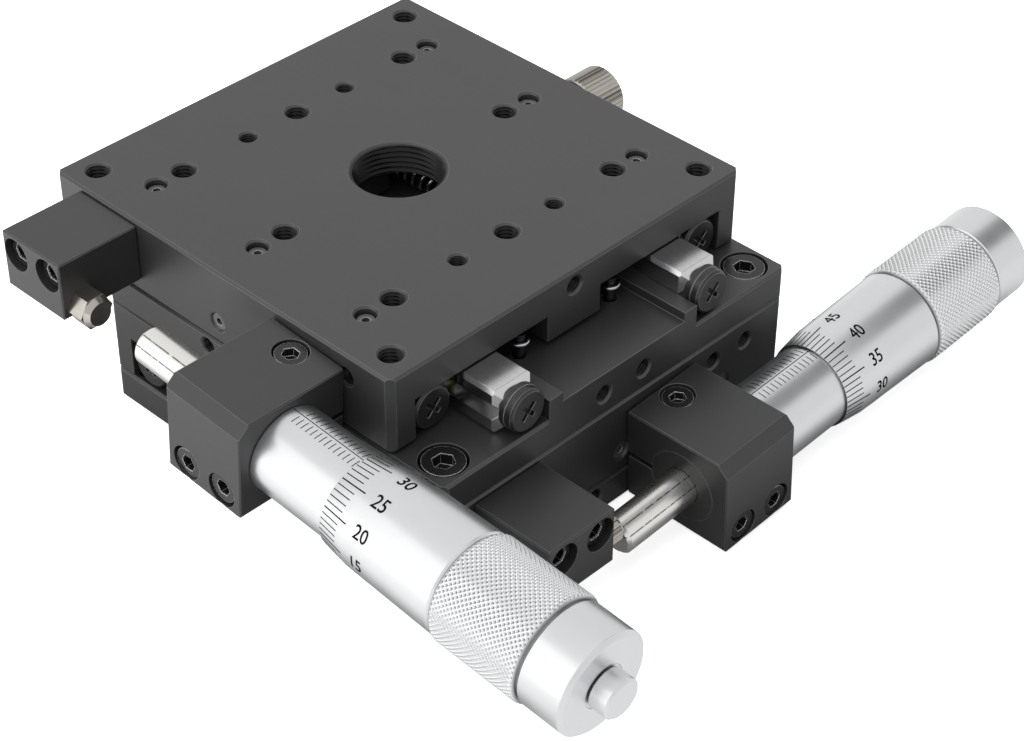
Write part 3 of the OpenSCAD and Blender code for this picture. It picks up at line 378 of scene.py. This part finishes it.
# Stem nuts: a round nut in the spindle side of each bracket, turned and blackened like the bracket.
# It clamps the stem of the micrometer head, and all round pieces of a head share its axis.
def grid_mesh(name, points, loop_rows, loop_columns):
    """Mesh of a grid of points, shaped rows by columns by 3, closed along either side on demand."""
    rows, columns = points.shape[:2]
    index = np.arange(rows * columns).reshape(rows, columns)
    if loop_rows:
        index = np.concatenate([index, index[:1]])
    if loop_columns:
        index = np.concatenate([index, index[:, :1]], axis=1)
    faces = np.stack([index[:-1, :-1], index[:-1, 1:], index[1:, 1:], index[1:, :-1]], -1)
    mesh = bpy.data.meshes.new(name)
    mesh.from_pydata(points.reshape(-1, 3).tolist(), [], faces.reshape(-1, 4).tolist())
    return mesh


def piece(name, meshes, material, sharp=30):
    """Object of several meshes in place, sewn, smooth but for edges sharper than an angle in degrees."""
    shape = bmesh.new()
    for mesh in meshes:
        shape.from_mesh(mesh)
    bmesh.ops.remove_doubles(shape, verts=shape.verts, dist=1e-7)
    bmesh.ops.dissolve_degenerate(shape, edges=shape.edges, dist=1e-8)
    joined = bpy.data.meshes.new(name)
    shape.to_mesh(joined)
    shape.free()
    joined.materials.append(material)
    joined.shade_smooth()
    joined.set_sharp_from_angle(angle=radians(sharp))
    made = bpy.data.objects.new(name, joined)
    bpy.context.scene.collection.objects.link(made)
    return made


def place_on(body, slot, made, *stands_for):
    """Ties a new piece to its body and hides the CAD nodes that it stands for; slot is not used."""
    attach(made, body)
    if stands_for:
        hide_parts(*stands_for)


class Axis:
    """Line with s along it in millimetres, a radius r and an angle a in radians from its upper side."""

    def __init__(self, foot, along):
        self.foot = np.array(foot)
        self.along = np.array(along) / np.linalg.norm(along)
        steep = abs(self.along[2]) > 0.9
        up = np.array((1.0, 0.0, 0.0) if steep else (0.0, 0.0, 1.0))
        up -= up @ self.along * self.along
        self.up = up / np.linalg.norm(up)
        self.out = np.cross(self.along, self.up)

    def at(self, s, r, a):
        """Points foot + s along + r (cos a up + sin a out), for arrays of one shape."""
        s, r, a = np.broadcast_arrays(s, r, a)
        return (self.foot + mm * (s[..., None] * self.along + (r * np.cos(a))[..., None] * self.up
                                  + (r * np.sin(a))[..., None] * self.out))

    def ends(self, node):
        """Lowest and highest s of a CAD node."""
        s = (np.array([v.co for v in nodes[node].data.vertices]) - self.foot) @ self.along / mm
        return s.min(), s.max()

    def spun(self, name, profile, material, sides=144):
        """Profile of (s, r) points spun about the axis; it closes on itself or ends on the axis."""
        s, r = np.array(profile).T
        turn = np.arange(sides) * 2 * pi / sides
        closed = r[0] > 0
        points = self.at(s[:, None], r[:, None], turn[None, :])
        return piece(name, [grid_mesh(name, points, closed, True)], material)


level_of = {"x": "lower", "y": "upper"}
table_of = {"x": "lower_table", "y": "upper_table"}
base_of = {"x": "lower_base", "y": "lower_table"}
joint_s = 40
heads = {}
for stage, outward in (("x", 1), ("y", -1)):
    joint = next(j for j in frame["joints"] if j["name"] == f"{level_of[stage]}_thimble_turn")
    along = np.array(joint["axis"]) * outward
    heads[stage] = Axis(np.array(joint["pos_m"]) - joint_s * mm * along, along)

bore, nut_r = 3.3, 6.4
for stage, axis in heads.items():
    low, high = axis.ends(f"{stage}_stem_nut")
    nut = axis.spun(f"{stage}_turned_nut", [
        (low + 0.15, bore), (low, bore + 0.15), (low, nut_r - 0.1), (low + 0.1, nut_r),
        (high, nut_r), (high, bore),
    ], block_finish)
    place_on(base_of[stage], "blackened_steel", nut, f"{stage}_stem_nut")


# Sleeves: the fixed barrel of each head, satin chrome, with its stem pushed into the bracket.
# Its scale is cut and filled with ink: one index line, and half millimetres on either side of it.
def turned(name, axis, colour, roughness, pitch=0.12, painted_reflections=()):
    """Turned metal: fine rings round a head's axis, pitch in millimetres, and dark painted reflections
    along it at angles.
    """
    finish = Finish(name, {"Metallic": 1.0})
    at = finish.place()
    s = finish.dot(at, tuple(axis.along))
    ring = finish.node("TexNoise", {"W": s * (1 / pitch), "Scale": 1.0, "Detail": 2.0},
                       {"noise_dimensions": "1D"})
    cloud = finish.noise(at, 0.25)
    grain = finish.noise(at, 9.0)
    edge_band, soft = finish.edge(0.08 * mm)
    darker = tuple(0.92 * c for c in colour)
    tone = finish.mix(cloud * 0.5 + ring * 0.5, darker, colour)
    # Each dark patchy line along the axis at a fixed angle is a painted reflection.
    for angle in painted_reflections:
        across = cos(angle) * axis.out - sin(angle) * axis.up
        off = abs(finish.dot(at, tuple(across)) - axis.foot @ across / mm)
        patchy = finish.noise(at, 1.2).step(0.30, 0.50)
        tone = finish.mix(off.step(0.17, 0.06) * patchy * 0.85, tone, (0.06, 0.06, 0.06))
    finish.feed({
        "Base Color": tone,
        "Roughness": roughness + 0.06 * ring + 0.05 * cloud - 0.04 * edge_band,
    })
    finish.bump(ring * 0.7 + grain * 0.3, 0.0010 * mm, soft)
    return finish.material


def boxes(axis, spans, surface, proud=0.02, arc=radians(2.5)):
    """Thin raised boxes from s0 to s1 and a0 to a1 on a surface of radius surface(s)."""
    places, faces = [], []
    for s0, s1, a0, a1 in spans:
        steps = max(1, ceil((a1 - a0) / arc))
        turn = np.linspace(a0, a1, steps + 1)[:, None]
        s = np.array([s0, s0, s1, s1])[None, :]
        r = np.array([surface(s0) - proud, surface(s0) + proud, surface(s1) + proud, surface(s1) - proud])
        first = len(places) * 4
        places.extend(axis.at(s, r[None, :], turn))
        for i in range(steps):
            k = first + 4 * i
            faces.extend([(k + j, k + 4 + j, k + 4 + (j + 1) % 4, k + (j + 1) % 4) for j in range(4)])
        last = first + 4 * steps
        faces.append((first, first + 1, first + 2, first + 3))
        faces.append((last + 3, last + 2, last + 1, last))
    mesh = bpy.data.meshes.new("marks")
    mesh.from_pydata(np.concatenate(places).tolist(), [], faces)
    return mesh


ink = Finish("engraving_fill", {"Base Color": (0.010, 0.010, 0.011), "Roughness": 0.9,
                                "Specular IOR Level": 0.0}).material
chrome = {stage: turned(f"satin_chrome_{stage}", axis, (0.82, 0.83, 0.84), 0.25)
          for stage, axis in heads.items()}
stem_r, sleeve_r, sleeve_l = 4.0, 7.4, 38
index_line = {"x": radians(-5.0), "y": radians(-9.0)}
first_mark, mark_count, mark_half = 10.46, 26, 0.07
for stage, axis in heads.items():
    low, high = axis.ends(f"{stage}_graduated_sleeve")
    shoulder = high - sleeve_l
    sleeve = axis.spun(f"{stage}_turned_sleeve", [
        (low, bore), (low, stem_r), (shoulder, stem_r), (shoulder, sleeve_r - 0.15),
        (shoulder + 0.15, sleeve_r), (high - 0.3, sleeve_r), (high, sleeve_r - 0.3), (high, bore),
    ], chrome[stage])
    place_on(base_of[stage], "satin_chrome", sleeve, f"{stage}_graduated_sleeve")

    line = index_line[stage]
    spans = [(shoulder + 0.3, high - 1, line - 0.0105, line + 0.0105)]
    for whole in first_mark + np.arange(mark_count):
        half = whole + 0.5
        spans.append((whole - mark_half, whole + mark_half, line + radians(4.5), line + radians(17)))
        spans.append((half - mark_half, half + mark_half, line - radians(18), line - radians(3)))
    marks = boxes(axis, spans, lambda s: sleeve_r)
    place_on(base_of[stage], "blackened_steel", piece(f"{stage}_sleeve_scale", [marks], ink))


# Spindles: hardened steel, ground and polished, with a dark painted reflection or two along them.
# Each slides in its sleeve's bore, and its chamfered tip pushes the table's contact.
spindle_r, spindle_edge = 3.25, 0.6
for stage, axis in heads.items():
    polished = turned(f"polished_spindle_{stage}", axis, (0.92, 0.91, 0.88), 0.22, 0.3,
                      [radians(26), radians(60)])
    low, high = axis.ends(f"{stage}_spindle")
    spindle = axis.spun(f"{stage}_polished_spindle", [
        (low, 0), (low, spindle_r - spindle_edge), (low + spindle_edge, spindle_r),
        (high, spindle_r), (high, 0),
    ], polished)
    place_on(f"{level_of[stage]}_spindle", "polished_steel", spindle, f"{stage}_spindle")


# Thimbles: satin chrome, turned over the sleeve, with a bevelled front edge that holds 50 divisions.
# Every fifth line is long and has its number behind it, engraved and filled with ink.
def number(axis, text, s, a, surface, height, squeeze=0.86, bold=0.035, proud=0.02):
    """Text that reads along s with its top towards a smaller angle, wrapped on a surface of radius r."""
    curve = bpy.data.curves.new("digits", "FONT")
    curve.body = text
    curve.align_x, curve.align_y = "CENTER", "CENTER"
    curve.size = height / 0.7
    curve.extrude = proud
    curve.resolution_u = 3
    holder = bpy.data.objects.new("digits", curve)
    flat = bpy.data.meshes.new_from_object(holder)
    bpy.data.objects.remove(holder)
    shape = bmesh.new()
    shape.from_mesh(flat)
    bmesh.ops.remove_doubles(shape, verts=shape.verts, dist=1e-4)
    shape.normal_update()
    moves = []
    for vertex in shape.verts:
        sides = [face.normal for face in vertex.link_faces if abs(face.normal.z) < 0.5]
        moves.append(bold * sum(sides, Vector()).normalized())
    for vertex, move in zip(shape.verts, moves):
        vertex.co += move
    for cut in np.arange(-height, height, height / 8):
        bmesh.ops.bisect_plane(shape, geom=shape.verts[:] + shape.edges[:] + shape.faces[:],
                               plane_co=(0, cut, 0), plane_no=(0, 1, 0))
    bmesh.ops.triangulate(shape, faces=shape.faces)
    shape.to_mesh(flat)
    shape.free()
    co = np.array([v.co for v in flat.vertices])
    along = s + squeeze * co[:, 0]
    r = surface(along)
    places = axis.at(along, r + co[:, 2], a - co[:, 1] / r)
    flat.vertices.foreach_set("co", places.ravel())
    return flat


front_r, bevel_r, rear_r, grip_seat_r, thimble_bore = 7.80, 8.48, 8.88, 8.2, 7.5
bevel_l, thimble_l, lip_l, bush_l = 5.2, 23.5, 0.9, 3
neck_l, neck_depth = 0.45, 0.3
reading = {"x": 43.3, "y": 29.8}
divisions, long_every = 50, 5
short_l, label_s, label_h = 3.7, 8.3, 2.3
for stage, axis in heads.items():
    front, high = axis.ends(f"{stage}_thimble")
    rear = front + thimble_l
    thimble = axis.spun(f"{stage}_turned_thimble", [
        (front + lip_l, thimble_bore), (front + 0.04, front_r - 0.06), (front, front_r - 0.03),
        (front + 0.02, front_r), (front + bevel_l, bevel_r), (rear - neck_l, rear_r - 0.01),
        (rear - 0.05, rear_r - neck_depth), (rear, grip_seat_r), (high, grip_seat_r), (high, bore),
        (high - bush_l, bore), (high - bush_l, thimble_bore),
    ], chrome[stage])
    place_on(f"{level_of[stage]}_thimble", "satin_chrome", thimble, f"{stage}_thimble")

    def skin(s):
        """Radius of the thimble's outside at s."""
        return np.interp(s, [front, front + bevel_l, rear], [front_r, bevel_r, rear_r])

    spans, labels = [], []
    for value in range(divisions):
        a = index_line[stage] + (reading[stage] - value) * 2 * pi / divisions
        is_long = value % long_every == 0
        line_half, line_end = (0.0130, bevel_l - 0.02) if is_long else (0.0100, short_l)
        spans.append((front + 0.06, front + line_end, a - line_half, a + line_half))
        if is_long:
            labels.append(number(axis, str(value), front + label_s, a, skin, label_h))
    scale = piece(f"{stage}_thimble_scale", [boxes(axis, spans, skin), *labels], ink)
    place_on(f"{level_of[stage]}_thimble", "blackened_steel", scale)


# Knurled grips: a raised diamond net rolled into the rear of each thimble, chromed with it.
# The grooves are painted a dull grey as painted shade, and the crests are bright.
def wave(x):
    """Triangle wave from 0 at whole numbers to 1 halfway between them."""
    return 1 - abs(2 * (x - np.floor(x)) - 1)


def knurl(axis, start, length, root, crest, bore, count, pitch, cells=6):
    """Knurl r = crest - (crest - root) (w(u) w(v))^0.8, with u, v = count a / 2 pi +- s / pitch."""
    sides = count * cells
    rows = round(length / pitch) * cells
    along = np.linspace(0, length, rows + 1)[:, None]
    turn = np.arange(sides)[None, :] * 2 * pi / sides
    u, v = count * turn / (2 * pi) + along / pitch, count * turn / (2 * pi) - along / pitch
    r = crest - (crest - root) * (wave(u) * wave(v)) ** 0.8
    r = np.minimum(r, root + 0.7 * np.minimum(along, length - along))
    ring = np.full((1, sides), bore)
    s = np.concatenate([0 * ring, np.repeat(along, sides, 1), 0 * ring + length])
    points = axis.at(start + s, np.concatenate([ring, r, ring]), turn)
    return grid_mesh("knurl", points, True, True)


def knurled(name, axis, colour, groove_shade, low_r, high_r):
    """Chrome that goes from painted shade in the grooves at low_r millimetres off the axis to bright at
    high_r.
    """
    finish = Finish(name, {"Metallic": 1.0})
    arm = finish.node("VectorMath", (finish.place(), tuple(axis.foot / mm)), {"operation": "SUBTRACT"})
    off = finish.node("VectorMath", (arm, tuple(axis.along)), {"operation": "CROSS_PRODUCT"})
    r = finish.node("VectorMath", {0: off}, {"operation": "LENGTH"}, out=1)
    high = r.step(low_r, high_r)
    finish.feed({"Base Color": finish.mix(high, groove_shade, colour), "Roughness": 0.34 - 0.10 * high})
    return finish.material


root_r, crest_r, diamonds_round, diamond_pitch = 8.72, 9.20, 60, 17 / 18
for stage, axis in heads.items():
    low, high = axis.ends(f"{stage}_knurled_grip")
    net = knurl(axis, low, high - low, root_r, crest_r, grip_seat_r, diamonds_round, diamond_pitch)
    grip_finish = knurled(f"knurled_chrome_{stage}", axis, (0.92, 0.93, 0.94), (0.33, 0.33, 0.34),
                          root_r + 0.04, crest_r - 0.16)
    grip = piece(f"{stage}_diamond_grip", [net], grip_finish, 50)
    place_on(f"{level_of[stage]}_thimble", "satin_chrome", grip, f"{stage}_knurled_grip")


# End caps and ratchet knobs: a chromed cap screwed on behind each grip, and a small knob in it.
# The knob turns in the cap on its own thin shaft and slips when the spindle meets its stop.
cap_r, cap_seat_r, shaft_bore, shaft_r = 8.75, 8.2, 1.6, 1.5
knob_r, neck_s, knob_play = 3.4, 3.5, 0.2
for stage, axis in heads.items():
    low, high = axis.ends(f"{stage}_end_cap")
    cap = axis.spun(f"{stage}_turned_cap", [
        (low, bore), (low, cap_seat_r), (low + 0.3, cap_seat_r), (low + 0.35, cap_r - 0.25),
        (low + 0.6, cap_r), (high - 0.65, cap_r), (high - 0.12, cap_r - 0.55), (high, cap_r - 0.75),
        (high, knob_r + 0.35), (high - 0.2, knob_r + knob_play), (high - 0.2, shaft_bore),
        (low + 3.05, shaft_bore), (low + 3.05, bore),
    ], chrome[stage])
    place_on(f"{level_of[stage]}_thimble", "satin_chrome", cap, f"{stage}_end_cap")

    low, high = axis.ends(f"{stage}_ratchet_knob")
    neck = low + neck_s
    knob = axis.spun(f"{stage}_turned_knob", [
        (low, 0), (low, shaft_r), (neck, shaft_r), (neck, knob_r - 0.25), (neck + 0.25, knob_r),
        (high - 0.35, knob_r), (high, knob_r - 0.35), (high, 0),
    ], chrome[stage])
    place_on(f"{level_of[stage]}_ratchet", "satin_chrome", knob, f"{stage}_ratchet_knob")


# Threads in the open tapped holes: cut with a tap, so that each hole shows fine dark rings.
# They stand a little inside the CAD holes of the two tables and of the plates' sides.
def thread(axis, start, length, hole_r, pitch, sides, steps=6, backing=0.08):
    """Thread r = root - depth w(s / pitch - a / 2 pi) inside a hole, backed by a wall in the metal."""
    rows = round(length / pitch * steps)
    s = start + np.linspace(length, 0, rows + 1)[:, None]
    turn = np.arange(sides)[None, :] * 2 * pi / sides
    root, depth = hole_r * 0.992, 0.5 * pitch
    r = root - depth * wave(s / pitch - turn / (2 * pi)) ** 1.3
    ring = np.full((1, sides), 1.0)
    s = np.concatenate([np.repeat(s, sides, 1), start * ring, (start + length) * ring])
    wall = (hole_r + backing) * ring
    return grid_mesh("thread", axis.at(s, np.concatenate([r, wall, wall]), turn), True, True)


stage_h, upper_shift = 20.3, 11.0


def stage_point(stage, x, y, z, on_table):
    """Point of a stage's own drawing in the frame, in metres."""
    if stage == "x":
        return np.array((x, y, z)) * mm
    shift = upper_shift if on_table else 0.0
    return np.array((y, shift - x, z + stage_h)) * mm


thread_finish = Finish("anodised_thread", {"Base Color": (0.014, 0.014, 0.015), "Roughness": 0.32,
                                           "Specular IOR Level": 0.2}).material
# Radius and pitch of the three sizes of thread, then places in the stage's own drawing.
large, fine, centre = (2.0, 0.7), (1.5, 0.5), (8.0, 1.0)
thread_sides, centre_sides = 32, 112
sink, top_l, side_l = 0.35, 5.4, 3.0
corner, inner, small, plate_half = 35.0, 25.0, 11.0, 40.0
both = (-1, 1)
top_spots = [(x * corner, y * corner, large) for x in both for y in both]
top_spots += [(x * inner, y * inner, large) for x in both for y in (-1, 1, 0)]
top_spots += [(0, y * inner, large) for y in both]
top_spots += [(x * inner, y * small, fine) for x in both for y in both]

bracket_x, bracket_gap, bracket_z = -10.0, 4.05, 3.7
base_end_gap, base_end_z = 4.6, 4.15
block_x, block_gap, block_z = 26.25, 4.0, 16.1
table_end_z = 17.3
# Each side hole has its place and its way into the metal.
side_spots = {
    "base": [(bracket_x + s * bracket_gap, -plate_half, bracket_z, (0, 1)) for s in both]
            + [(end * plate_half, s * base_end_gap, base_end_z, (-end, 0)) for end in both for s in both],
    "table": [(block_x + s * block_gap, -plate_half, block_z, (0, 1)) for s in both]
             + [(end * plate_half, 0.0, table_end_z, (-end, 0)) for end in both],
}
for stage in stages:
    down = (0, 0, -1)
    meshes = [thread(Axis(stage_point(stage, x, y, stage_h, True), down), sink, top_l, *size, thread_sides)
              for x, y, size in top_spots]
    meshes.append(thread(Axis(stage_point(stage, 0, 0, stage_h, True), down), sink, top_l, *centre,
                         centre_sides))
    made = piece(f"{stage}_table_threads", meshes, thread_finish, 40)
    place_on(table_of[stage], "black_anodised", made)

    for part, body in (("base", base_of[stage]), ("table", table_of[stage])):
        meshes = []
        for x, y, z, (to_x, to_y) in side_spots[part]:
            foot = stage_point(stage, x, y, z, part == "table")
            inward = stage_point(stage, x + to_x, y + to_y, z, part == "table") - foot
            meshes.append(thread(Axis(foot, inward), sink, side_l, *fine, thread_sides))
        made = piece(f"{stage}_{part}_side_threads", meshes, thread_finish, 40)
        place_on(body, "black_anodised", made)


# Cap screws of the stop blocks: black-oxide steel, their heads a little under the mouths of the bores.
# Each stands on the CAD screw's axis and seat; only its head is longer than the CAD solid's.
def cap_screw(axis, top, head_r, head_h, shank_r, length, socket_r, socket_l, sides=72):
    """Cap screw with its face at s = top and a socket of six flats, r = socket_r / cos(a - flat's a)."""
    turn = np.arange(sides)[None, :] * 2 * pi / sides
    flats = socket_r / np.cos((turn + pi / 6) % (pi / 3) - pi / 6)
    ring = np.full((1, sides), 1.0)
    rim, lead_in = 0.25, 0.15
    rows = [(length, 0), (length, shank_r), (head_h, shank_r), (head_h, head_r), (rim, head_r),
            (0, head_r - rim), (0, flats + lead_in), (lead_in, flats), (socket_l, flats), (socket_l, 0)]
    s = np.concatenate([(top - depth) * ring for depth, r in rows])
    r = np.concatenate([r * ring for depth, r in rows])
    return grid_mesh("cap_screw", axis.at(s, r, turn), False, True)


under_mouth, block_head_h, block_shank_r = 1.2, 4.8, 1.4
socket_r, socket_l = 1.25, 1.8
for stage, outward, across in (("x", (0, -1, 0), 0), ("y", (-1, 0, 0), 1)):
    along = 1 - across
    low, high = np.array(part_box(f"{stage}_stop_block_screws"))
    mouth = np.array(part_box(f"{stage}_stop_block"))[0][along]
    head_r = (high[2] - low[2]) / 2
    length = (high[along] - mouth) / mm - under_mouth
    meshes = []
    for end in (low[across] + head_r, high[across] - head_r):
        foot = (low + high) / 2
        foot[across] = end
        foot[along] = mouth
        meshes.append(cap_screw(Axis(foot, outward), -under_mouth, head_r / mm, block_head_h,
                                block_shank_r, length, socket_r, socket_l))
    screws = piece(f"{stage}_block_cap_screws", meshes, screw_finish, 30)
    place_on(table_of[stage], "black_screw", screws, f"{stage}_stop_block_screws")


# Return springs: two cold-wound steel springs on each stage, hooked between base and table.
# They stretch with the table's slide; here each wire is built at rest, in the frame.
def spring_path(length, turns, coil_r, hook_r, lead=4.2):
    """Middle line of a spring along +x from pin to pin: a hook round each pin and a helix between."""
    hook = np.radians(np.arange(50, 331, 10))
    first = np.stack([hook_r * np.cos(hook), hook_r * np.sin(hook), 0 * hook], 1)
    neck = np.array([(2.3, -0.25, 0.0), (3.1, 0.0, 0.0)])
    t = np.linspace(0, 1, turns * 18)
    swell = coil_r * np.minimum(1, np.minimum(t, 1 - t) * turns / 0.8)
    helix = np.stack([lead + (length - 2 * lead) * t, swell * np.sin(2 * pi * turns * t),
                      swell * np.cos(2 * pi * turns * t)], 1)
    start = np.concatenate([first, neck])
    end = start[::-1] * (-1, -1, 1) + (length, 0, 0)
    return np.concatenate([start, helix, end])


def tube(path, wire_r, sides=8):
    """Round wire along a path; each ring's sides turn with the least twist from ring to ring."""
    way = np.gradient(path, axis=0)
    way /= np.linalg.norm(way, axis=1)[:, None]
    lean = np.array((0.0, 0.0, 1.0))
    turn = np.arange(sides) * 2 * pi / sides
    rings = []
    for middle, ahead in zip(path, way):
        lean = lean - lean @ ahead * ahead
        lean /= np.linalg.norm(lean)
        side = np.cross(ahead, lean)
        rings.append(middle + wire_r * (np.cos(turn)[:, None] * lean + np.sin(turn)[:, None] * side))
    tips = [np.repeat(path[:1], sides, 0)], [np.repeat(path[-1:], sides, 0)]
    return np.stack(tips[0] + rings + tips[1])


spring_finish = bright("spring_wire", (0.62, 0.62, 0.64), 0.22)
spring_turns, coil_r, hook_r, wire_r = 34, 1.85, 1.42, 0.35
base_pin_x, table_pin_x, spring_y, spring_h = 27.0, -34.0, 10.5, 11.1
held_end = 2.5
for stage, shift in (("x", 0.0), ("y", -upper_shift)):
    tail = table_pin_x + shift
    wire = tube(spring_path(base_pin_x - tail, spring_turns, coil_r, hook_r), wire_r)
    meshes = []
    for side in both:
        local = wire + (tail, side * spring_y, spring_h)
        points = np.apply_along_axis(lambda p: stage_point(stage, *p, False), -1, local)
        meshes.append(grid_mesh("spring", points, False, True))
    springs = piece(f"{stage}_wound_springs", meshes, spring_finish, 60)
    start, end = (Vector(stage_point(stage, x, 0, spring_h, False))
                  for x in (base_pin_x - held_end, tail + held_end))
    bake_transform(springs)
    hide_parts(f"{stage}_return_springs")
